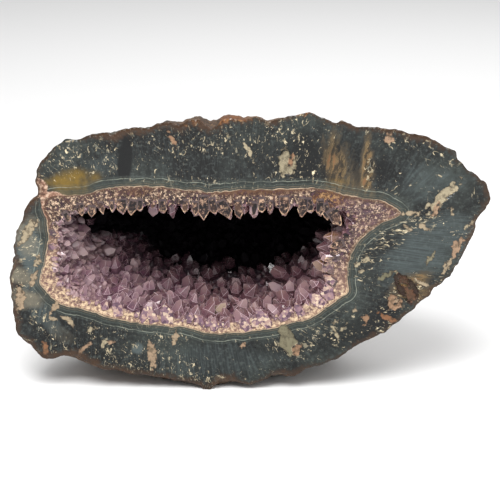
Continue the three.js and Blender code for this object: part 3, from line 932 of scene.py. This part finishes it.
# %% [markdown]
# ## Amethyst points
# A quartz crystal is a six-sided prism with a six-sided pointed end, and in a druse mostly the
# ends show. Real ones differ in size, lean, and in how high each side reaches. The large ones
# that the photo shows are placed one by one: the teeth that the saw cut along the roof, and the
# points on the floor, which a ray from the camera puts where they appear. Smaller ones then
# fill the ground, the largest first, each at a fair distance from the others.

# %% Amethyst points
TEETH = [  # tip on the cut: x, height; radius, length in mm, way in degrees, distance behind the cut
    (-110, 113, 2.2, 8, -60, 0.8), (-102.5, 116.6, 2.5, 9, -80, 0.5), (-97, 116, 2.4, 8, -95, 0.5),
    (-90.5, 117.5, 2.2, 9, -85, 0.8), (-84, 118.5, 2.2, 9, -90, 1.2), (-77, 117.3, 3.2, 11, -85, 0.6),
    (-72, 117, 2.8, 11, -100, 0.5), (-66.5, 119.5, 2.2, 9, -90, 1.0), (-58.8, 113.5, 3.7, 12, -95, 9),
    (-52, 118, 2.6, 10, -85, 1.0), (-45, 112.5, 3.6, 13, -80, 10), (-38.5, 118, 2.4, 10, -90, 0.8),
    (-33, 117, 2.2, 10, -95, 0.8), (-26.5, 113.7, 3.4, 17, -88, 0.2), (-19.5, 117.3, 2.6, 12, -75, 0.8),
    (-11, 113.4, 3.5, 15, -65, 0.3), (-3.5, 114.8, 2.6, 13, -78, 0.4), (4, 114.5, 2.5, 12, -92, 2.0),
    (9, 118.5, 2.4, 11, -90, 0.8), (14.5, 117.2, 2.0, 10, -90, 1.0), (23, 116.2, 3.7, 14, -90, 0.2),
    (33.5, 115.5, 3.0, 14, -97, 0.3), (39.5, 118, 2.4, 11, -80, 0.9), (45.5, 116.3, 2.6, 12, -90, 0.7),
    (51, 113.8, 2.6, 12, -75, 0.8), (58, 110, 3.4, 13, -58, 0.4), (47.5, 102.7, 3.7, 13, 172, 4.8),
    (50.5, 96, 2.6, 11, 200, 0.8), (40.5, 83.5, 4.0, 15, 168, 5.2), (46, 88.5, 2.6, 12, 185, 1.5),
    (47.5, 77, 2.8, 10, 150, 1.2), (-117, 104, 2.2, 8, -20, 0.8), (-117, 97, 2.6, 8, 5, 1.0),
]
TEETH_WIDER = 1.15
# A point's paleness is partly its own colour and partly a painted highlight where its face caught the
# light, as on the cream one at x -12.6
FLOOR_POINTS = [  # where a tip is seen: x, height on the plane of the cut; radius, length, paleness
    (-0.5, 63, 4.2, 9, 0.75), (10.8, 65.6, 4.4, 10, 0.5), (-8.4, 65, 2.6, 8, 0.4),
    (17.3, 83.4, 4.4, 15, 0.35), (25.7, 75, 4.4, 14, 0.4), (-7.2, 76.2, 3.6, 12, 0.3),
    (-3.3, 79, 2.6, 10, 0.2), (-41.2, 84.2, 4.2, 12, 0.35), (-48, 75.4, 4.0, 10, 0.4),
    (-55.5, 82, 3.0, 8, 0.5), (10, 84.2, 2.4, 9, 0.6), (20.6, 68, 4.2, 10, 0.3),
    (31.6, 68.6, 3.8, 10, 0.3), (6.4, 61.5, 3.0, 7, 0.86), (-12.6, 60, 4.4, 9, 1.0),
    (-59.8, 92.6, 3.0, 8, 0.3), (-43.5, 92.8, 3.6, 10, 0.15), (-83.2, 90, 4.0, 9, 0.35),
    (-71.6, 89.8, 2.6, 7, 0.86), (-67.5, 87.8, 2.6, 7, 0.8), (-79, 96.8, 2.6, 7, 0.7),
    (-100.4, 97.6, 3.0, 8, 0.85), (-62.4, 73.8, 3.6, 9, 0.65), (-69.4, 67, 3.2, 8, 0.6),
    (-26.6, 72, 3.8, 10, 0.4), (-21.4, 63, 4.4, 9, 0.3), (-35, 66.6, 3.4, 9, 0.5),
    (-29.8, 78, 3.2, 10, 0.25), (-16.6, 77, 3.4, 10, 0.2), (1.8, 83, 2.6, 10, 0.2),
    (34.4, 91.4, 4.0, 12, 0.1), (39.6, 75, 3.2, 10, 0.3), (44.6, 71.4, 3.2, 9, 0.4),
    (28.4, 82, 3.4, 11, 0.15), (-76.8, 77, 4.2, 9, 0.3), (-86.4, 82.6, 3.6, 8, 0.35),
    (-92.4, 91.2, 3.6, 8, 0.4), (-96, 81.4, 3.4, 8, 0.45), (-49, 68, 3.2, 8, 0.5),
    (-55.2, 64, 3.0, 7, 0.6), (-77.2, 68, 3.4, 8, 0.5), (-101.4, 72.6, 4.4, 8, 0.6),
    (52.2, 68, 3.0, 8, 0.5), (-109.5, 92.5, 3.6, 8, 0.5), (-98.2, 109.5, 3.6, 9, 0.6),
    (-105, 104, 3.4, 9, 0.45), (-84.5, 104.5, 3.8, 9, 0.15), (-112, 85, 3.2, 8, 0.55),
]
FLOOR_WIDER, FLOOR_LONGER = 1.12, 1.6
SIZES = [(4.6, 700), (3.8, 1200), (2.9, 1800), (2.2, 3600), (1.6, 6000), (1.2, 6000)]  # mm, tries
CELL = 9 * MM
WALL_FROM = -92 * MM  # on the left wall the points get larger only further in
ROOF_FROM = 105 * MM  # and the roof keeps its front free for the sawn teeth
SMALLEST_WALL = 1.7 * MM
CLOSEST = 0.74  # how near two points may grow, as a share of their radii together
FLATTEST_VIEW = 0.35
FARTHEST_TIP = 26 * MM  # from the bed, along the line of sight
rng = np.random.default_rng(11)
crystals = []  # root, axis, radius, length above the root, paleness
taken = {}


def leaning(normal, amount):
    """The normal, leaning a little to a random side."""
    axis = normal + rng.normal(0, amount, 3)
    return axis / np.linalg.norm(axis)


def cell_of(root):
    """The numbers of the cube of space that a root is in."""
    return tuple(int(v) for v in root // CELL)


def grow(root, axis, radius, above, paleness, sink=0):
    """Notes a crystal, which starts as deep as its sink, and the room that it takes at its root."""
    crystals.append((root - axis * sink, axis, radius, sink + above, paleness))
    taken.setdefault(cell_of(root), []).append((root, radius))


def crowded(root, radius):
    """Whether a crystal at the root would grow too far into one that is already there."""
    key = cell_of(root)
    for a, b, c in np.ndindex(3, 3, 3):
        for other, size in taken.get((key[0] + a - 1, key[1] + b - 1, key[2] + c - 1), ()):
            if np.linalg.norm(root - other) < CLOSEST * (radius + size):
                return True
    return False


for x, z, radius, length, way, behind in TEETH:
    c, s = math.cos(math.radians(way)), math.sin(math.radians(way))
    axis = np.array([c, rng.uniform(-0.05, 0.12), s])
    axis /= np.linalg.norm(axis)
    tip = np.array([x * MM, FACE_Y + behind * MM, z * MM])
    whole_point_paleness = 0.93 if x > 0 else 0.4  # brown at the right and violet at the left
    pale = whole_point_paleness if behind > 4 else 0.8
    grow(tip - axis * length * MM, axis, radius * TEETH_WIDER * MM, length * MM, pale)

eye = np.array(camera.location)
for x, z, radius, length, pale in FLOOR_POINTS:
    sight = np.array([x * MM, FACE_Y, z * MM]) - eye
    sight /= np.linalg.norm(sight)
    hit, normal, _, _ = ground_tree.ray_cast(Vector(eye), Vector(sight))
    if hit is None:
        continue
    normal = np.array(normal) * (-1 if np.dot(normal, sight) > 0 else 1)
    slope = max(-np.dot(normal, sight), FLATTEST_VIEW)
    tip = np.array(hit) - sight * min(length * MM / slope, FARTHEST_TIP)
    axis = leaning(normal + np.array([0, 0, 0.35]), 0.08)
    length = length * FLOOR_LONGER + 2
    grow(tip - axis * length * MM, axis, radius * FLOOR_WIDER * MM, length * MM, pale)
print("crystals placed by hand", len(crystals))

chance = ground_area / ground_area.sum()
for size, tries in SIZES:
    for i in rng.choice(len(ground_centre), tries, p=chance):
        radius = size * rng.uniform(0.85, 1.15) * MM
        root = ground_centre[i]
        if crowded(root, radius):
            continue
        axis = leaning(ground_normal[i] + np.array([0, -0.15, 0.1]), 0.3)
        from_cut = root[1] - FACE_Y
        if root[0] < WALL_FROM and radius > SMALLEST_WALL + 0.09 * from_cut:
            continue
        if root[2] > ROOF_FROM and from_cut < 6 * MM and radius > SMALLEST_WALL:
            continue
        paleness = min(rng.uniform(0, 0.72) ** 1.15 + 0.55 * eased(-root[0] / MM, 76, 106), 0.86)
        line_distance = line_tree.find((root[0], 0, root[2]))[2]
        sink = min(1.6 * radius, 0.6 * line_distance + from_cut)
        grow(root, axis, radius, radius * rng.uniform(1.1, 2.6), paleness, sink)
print("crystals", len(crystals))

# %% Mesh of the points
APOTHEM = math.cos(math.pi / 6)  # of a hexagon with corners at 1
SIX_ANGLES = np.arange(6) * math.pi / 3 + math.pi / 6
CLEAR, SAWN, PALE, DARK, EDGE_HIGHLIGHT = range(5)
WORN_WIDTH = 0.13 * MM
RIM_WIDTH = 0.55 * MM
CAP_STEP = 0.003 * MM  # sawn ends that overlap lie this far apart, so that neither hides in the other
# Beyond this, points get the near-black material of painted shade
DARK_FROM = 52  # mm behind the cut, as far as the light is concerned


def crystal_mesh(root, axis, radius, length):
    """Corners and faces of one crystal: a prism under three large end faces and three small ones."""
    height = length / radius
    point = rng.uniform(1.15, 1.75)
    shoulder = max(height - point, 0.25)
    ring = np.stack([np.cos(SIX_ANGLES), np.sin(SIX_ANGLES)], axis=1)
    small = rng.uniform(0.15, 0.95)  # how far down a ridge the small end faces start
    turns = np.arange(3) * 2 * math.pi / 3 + math.pi
    ridge = np.array([[math.cos(a), math.sin(a)] for a in turns]) * APOTHEM
    corners = [[x, y, 0] for x, y in ring * 0.9] + [[x, y, shoulder] for x, y in ring]
    corners += [[x * small, y * small, shoulder + point * (1 - small / 2)] for x, y in ridge]
    corners = np.array(corners + [[0, 0, shoulder + point]])
    corners[6:, 2] += corners[6:, :2] @ rng.normal(0, 0.16, 2)
    corners[:, :2] *= rng.uniform(0.85, 1.12, 2)
    corners[:, :2] += np.outer(corners[:, 2], rng.normal(0, 0.06, 2))
    side = np.cross(axis, [0.3, 0.2, 1.0] if abs(axis[2]) < 0.9 else [1.0, 0.2, 0])
    side /= np.linalg.norm(side)
    turn = rng.uniform(0, math.pi)
    first = side * math.cos(turn) + np.cross(axis, side) * math.sin(turn)
    corners = root + radius * (corners @ np.stack([first, np.cross(axis, first), axis]))
    faces = [(5, 4, 3, 2, 1, 0)] + [(i, (i + 1) % 6, 6 + (i + 1) % 6, 6 + i) for i in range(6)]
    faces += [(8, 9, 12), (10, 11, 13), (6, 7, 14)]
    faces += [(7, 8, 12, 15, 14), (9, 10, 13, 15, 12), (11, 6, 14, 15, 13)]
    return corners, faces


def lit_depth(places):
    """Depth behind the cut in mm that sets the painted shade: less where the opening lets light in and more
    under the roof.
    """
    x, y, z = places.T / MM
    depth = y - FACE_Y / MM
    high = eased(z, 82, 97) * eased(depth, 22, 40)
    lit = depth * (1 - 0.42 * eased(-x, 45, 95) * (1 - high)) + 16 * high
    return lit + 30 * eased(z, 96, 112) * eased(depth, 2, 12)


built = bmesh.new()
tip_layer, pale_layer, tooth_layer, large_layer = (
    built.verts.layers.float.new(name) for name in ("tip", "pale", "tooth", "large")
)
for number, (root, axis, radius, length, pale) in enumerate(crystals):
    corners, faces = crystal_mesh(root, axis, radius, length)
    verts = [built.verts.new(corner) for corner in corners]
    for i, vert in enumerate(verts):
        vert[tip_layer] = 0 if i < 6 else 0.55 if i < 12 else 0.8 if i < 15 else 1
        vert[pale_layer] = pale
        vert[tooth_layer] = number < len(TEETH)
        vert[large_layer] = radius > 2.3 * MM and i > 5
    for face in faces:
        built.faces.new([verts[i] for i in face])
bmesh.ops.recalc_face_normals(built, faces=built.faces)

# The edges of the large points are a little worn and bevelled, so that they catch the light; their pale
# colour is partly a painted highlight
large_edges = [edge for edge in built.edges if all(vert[large_layer] > 0.5 for vert in edge.verts)]
bmesh.ops.bevel(
    built, geom=large_edges, offset=WORN_WIDTH, segments=1,
    affect="EDGES", material=EDGE_HIGHLIGHT, clamp_overlap=True,
)

# The saw cut every point that crossed the plane
cut = bmesh.ops.bisect_plane(
    built, geom=built.verts[:] + built.edges[:] + built.faces[:], dist=1e-7,
    plane_co=(0, FACE_Y, 0), plane_no=(0, -1, 0), clear_outer=True,
)
beside = {}
for item in cut["geom_cut"]:
    if isinstance(item, bmesh.types.BMEdge):
        for vert in item.verts:
            beside.setdefault(vert, []).append(item.other_vert(vert))
loops = []
waiting = dict.fromkeys(beside)
while waiting:
    loop = [waiting.popitem()[0]]
    while onward := [vert for vert in beside[loop[-1]] if vert in waiting]:
        loop.append(onward[0])
        del waiting[onward[0]]
    if len(loop) > 2:
        loops.append((sum((vert.co for vert in loop), Vector()) / len(loop), loop))
loops.sort(key=lambda found: found[0].x)
for number, (middle, loop) in enumerate(loops):
    for place in (middle, *(vert.co for vert in loop)):
        place.y += CAP_STEP * (number % 24)
    reach = sum((vert.co - middle).length for vert in loop) / len(loop)
    if loop[0][tooth_layer] > 0.5 and reach > 2.3 * MM:
        shrink = 1 - min(RIM_WIDTH / reach * 1.5, 0.5)
        within_rim = [built.verts.new(middle + (vert.co - middle) * shrink) for vert in loop]
        for vert, inner_vert in zip(loop, within_rim):
            for layer in (tip_layer, pale_layer, tooth_layer):
                inner_vert[layer] = vert[layer]
        for i in range(len(loop)):
            j = (i + 1) % len(loop)
            corners = [loop[i], loop[j], within_rim[j], within_rim[i]]
            built.faces.new(corners).material_index = PALE
        loop = within_rim
    built.faces.new(loop).material_index = SAWN
# Faces far inside, in painted shade, get the near-black material
centres = np.array([face.calc_center_median() for face in built.faces])
for face, lit in zip(built.faces, lit_depth(centres)):
    if face.material_index in (CLEAR, EDGE_HIGHLIGHT) and lit > DARK_FROM:
        face.material_index = DARK
print("sawn points", len(loops))

# %% [markdown]
# ## Amethyst materials
# Clear amethyst is quartz: IOR 1.544 with a natural surface that is a little dull. It is
# see-through, and a violet absorption colours it. The sawn section isn't see-through, because
# light meets many grain borders there: it is mottled violet and cream with long grains along
# the direction of growth, and iron has stained its oldest layer orange. Far inside, the points
# and the bed are given painted shade: their colours darken to near black with depth and under the roof.

# %% Amethyst
amethyst, tree, place, tip_mark, pale_mark, lit_depth_mark = new_material(
    "clear_amethyst", ["tip", "pale", "deep"]
)
veil = add(tree, "TexNoise", {"Vector": place, "Scale": per_metre(5), "Detail": 5, "Roughness": 0.7})
sideways = add(tree, "SeparateXYZ", [place])
body = add(tree, "ValToRGB", [pale_mark], [
    (0.0, "6c475a"), (0.3, "88606f"), (0.6, "a88290"), (0.86, "d6b6b8"), (0.93, "8a6a4e"), (0.99, "c9b59c"),
])
colour = layered(tree, body, [
    (veil, 0.5, 0.7, 0.4, "c0a2a8"),
    (veil, 0.46, 0.36, 0.45, "4e3250"),
    (sideways, -75 * MM, -25 * MM, 0.22, "9b6a58"),
    # Paler upper end faces are partly a painted highlight, and the darker foot of each prism partly painted
    # shade
    (tip_mark, 0.6, 1.0, 0.38, "d0b0a2"),
    (tip_mark, 0.5, 0.1, 0.5, "452c4a"),
    # Painted shade: darker, then near black, deeper in the hollow and under its roof
    (lit_depth_mark, 22, 42, 0.7, "4a2f3a"),
    (lit_depth_mark, 38, 58, 0.97, "0a0609"),
])
scratches = add(tree, "TexNoise", {"Vector": place, "Scale": per_metre(1.6), "Detail": 3})
bump = add(tree, "Bump", {"Height": scratches, "Strength": 0.2, "Distance": 0.3 * MM})
shader = add(tree, "BsdfPrincipled", {
    "Base Color": colour, "Roughness": 0.17, "IOR": 1.544, "Transmission Weight": 0.5, "Normal": bump,
})
absorption = add(tree, "VolumeAbsorption", {"Color": linear("b48cba"), "Density": 120})
add(tree, "OutputMaterial", {"Surface": shader, "Volume": absorption})

# %% Sawn and granular amethyst
sawn, tree, place, low_mark = new_material("sawn_amethyst", ["low"])
grain = add(tree, "TexNoise", {"Vector": place, "Scale": per_metre(2.2), "Detail": 5, "Roughness": 0.75})
cloudy = add(tree, "TexNoise", {"Vector": place, "Scale": per_metre(7), "Detail": 4})
lumps = add(tree, "TexVoronoi", {"Vector": place, "Scale": per_metre(1.7)})
lots = add(tree, "SeparateColor", [lumps.outputs["Color"]])
low_tint = add(tree, "ValToRGB", [lots], [
    (0.0, "4c3748"), (0.4, "886a78"), (0.75, "b3958b"), (1.0, "dcc6ac"),
])
core = add(tree, "ValToRGB", [grain], [
    (0.4, "090506"), (0.47, "1c1213"), (0.53, "412d2b"), (0.6, "b39379"),
])
colour = layered(tree, core, [
    (cloudy, 0.52, 0.66, 0.5, "5f4434"),
    (cloudy, 0.5, 0.42, 0.6, "0d080b"),
    (low_mark, 0.2, 0.9, 0.8, low_tint),
])
shader = add(tree, "BsdfPrincipled", {
    "Base Color": colour, "Roughness": 0.3, "IOR": 1.544, "Specular IOR Level": 0.25,
})
add(tree, "OutputMaterial", {"Surface": shader})

pale_edge, tree, place, tip_mark = new_material("pale_quartz_edge", ["tip"])
grain = add(tree, "TexNoise", {"Vector": place, "Scale": per_metre(2.6), "Detail": 4, "Roughness": 0.7})
rusty = add(tree, "ValToRGB", [grain], [
    (0.38, "432b1f"), (0.47, "6f5040"), (0.54, "947159"), (0.62, "c2a789"),
])
colour = layered(tree, rusty, [(tip_mark, 0.6, 0.42, 0.9, "33252a")])
shader = add(tree, "BsdfPrincipled", {"Base Color": colour, "Roughness": 0.3, "IOR": 1.544})
add(tree, "OutputMaterial", {"Surface": shader})

edge_wear_and_highlight, tree, _, lit_depth_mark = new_material("quartz_edge_wear_and_highlight", ["deep"])
# Pale edge colour is partly wear and partly a painted highlight; deeper in, painted shade darkens it to
# near black
colour = layered(tree, linear("b39aa0"), [(lit_depth_mark, 8, 48, 1, "0d080b")])
shader = add(tree, "BsdfPrincipled", {"Base Color": colour, "Roughness": 0.35, "IOR": 1.544})
add(tree, "OutputMaterial", {"Surface": shader})

# Painted shade: a near-black quartz put where the hollow lies deep in shade
painted_shade_amethyst, tree, _ = new_material("amethyst_painted_shade")
shader = add(tree, "BsdfPrincipled", {
    "Base Color": linear("060406"), "Roughness": 0.6, "IOR": 1.544, "Specular IOR Level": 0.04,
})
add(tree, "OutputMaterial", {"Surface": shader})

# %% Granular druse
druse, tree, place, along_mark, across_mark, lit_depth_mark, low_mark, rusty_mark = new_material(
    "granular_druse", ["along", "across", "deep", "low", "rusty"]
)
grain = add(tree, "TexNoise", {"Vector": place, "Scale": per_metre(2.0), "Detail": 6, "Roughness": 0.8})
cloudy = add(tree, "TexNoise", {"Vector": place, "Scale": per_metre(9), "Detail": 4})
sugar = add(tree, "TexVoronoi", {"Vector": place, "Scale": per_metre(1.9)})
grown = add(tree, "CombineXYZ", [along_mark, across_mark])
needle_place = add(tree, "VectorMath", [grown, (1 / 1.6, 1 / 5.0, 0)], operation="MULTIPLY")
needle_bend = [grain.outputs["Color"], (1.1, 0.9, 0), needle_place]
needle_place = add(tree, "VectorMath", needle_bend, operation="MULTIPLY_ADD")
needles = add(tree, "TexVoronoi", {"Vector": needle_place, "Scale": 1}, voronoi_dimensions="2D")
streak_place = add(tree, "VectorMath", [grown, (1 / 1.1, 1 / 7.0, 0)], operation="MULTIPLY")
streak = add(tree, "TexNoise", {"Vector": streak_place, "Scale": 1, "Detail": 5, "Roughness": 0.7})
rusty = add(tree, "Math", [rusty_mark, grain], operation="MULTIPLY")
low_grain = add(tree, "Math", [low_mark, grain], operation="MULTIPLY")
from_line = add(tree, "Math", [grain, 14, across_mark], operation="MULTIPLY_ADD")
lots = add(tree, "SeparateColor", [needles.outputs["Color"]])
ground = add(tree, "ValToRGB", [lots], [
    (0.0, "060304"), (0.35, "160c0b"), (0.6, "2e1e1a"), (0.82, "6a4d3f"), (1.0, "bf9f84"),
])
colour = layered(tree, ground, [
    (sugar, 0.4, 0.75, 0.75, "0d080c"),
    (cloudy, 0.51, 0.44, 0.7, "0d080b"),
    (streak, 0.52, 0.6, 0.5, "8f735f"),
    (grain, 0.53, 0.57, 0.9, "d2b69c"),
    (rusty, 0.26, 0.55, 0.85, "54300f"),
    (rusty, 0.6, 0.7, 0.7, "b08a5e"),
    (grain, 0.485, 0.44, 0.9, "0c0608"),
    (cloudy, 0.52, 0.64, 0.4, "5a3d2d"),
    (from_line, 12.0, 8.5, 0.4, "3d271c"),
    (from_line, 8.4, 7.1, 0.7, "5e3f28"),
    (low_mark, 0.2, 0.9, 0.6, "997a68"),
    (low_grain, 0.47, 0.56, 0.75, "d8bf9d"),
    (grain, 0.46, 0.4, 0.8, "543a44"),
    (lit_depth_mark, 0.3, 2.0, 0.75, "5e4357"),
    # Painted shade: darker, then near black, deeper in the hollow and under its roof
    (lit_depth_mark, 20, 40, 0.85, "2c1b26"),
    (lit_depth_mark, 36, 54, 0.97, "050307"),
])
bump = add(tree, "Bump", {"Height": grain, "Strength": 0.5, "Distance": 0.5 * MM})
shader = add(tree, "BsdfPrincipled", {
    "Base Color": colour, "Roughness": 0.4, "IOR": 1.544, "Specular IOR Level": 0.25, "Normal": bump,
})
add(tree, "OutputMaterial", {"Surface": shader})

# %% Build the crust
BED_RUST = [(50, 128, 17, 9, 0, 1.3), (2, 133, 44, 5, 0, 0.95), (-68, 132, 14, 5, 0, 0.8)]  # as the stains
# Painted shade: the bed far inside gets the near-black material, and its colour darkens with depth
bed_lit_depth = lit_depth(bed_points)
bed_in_painted_shade = (bed_after >= first_inside) & (bed_lit_depth[[face[0] for face in bed_faces]] > DARK_FROM)
bed = new_skin("druse_bed", bed_points, bed_faces, [druse, painted_shade_amethyst], bed_in_painted_shade, np.zeros(len(bed_faces)))
bed_pale = np.maximum(bed_low, 0.3 * eased(bed_points[:, 0] / MM, 56, 68))
bed_rust = stained_by(bed_points, BED_RUST, 0.3, 1.3)
keep(bed, rusty=bed_rust, along=along_rows(bed_rows), across=bed_across, deep=bed_lit_depth, low=bed_pale)
points_mesh = bpy.data.meshes.new("amethyst_points")
built.to_mesh(points_mesh)
built.free()
points = new_piece("amethyst_points", points_mesh, [amethyst, sawn, pale_edge, painted_shade_amethyst, edge_wear_and_highlight])
point_places = np.array([vert.co for vert in points_mesh.vertices])
keep(points, deep=lit_depth(point_places), low=lowness(point_places))
for piece in (bed, points):
    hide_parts("crystal_crust")
    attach(piece, "root")
    print(piece.name, "triangles", triangles([p.vertices for p in piece.data.polygons]))
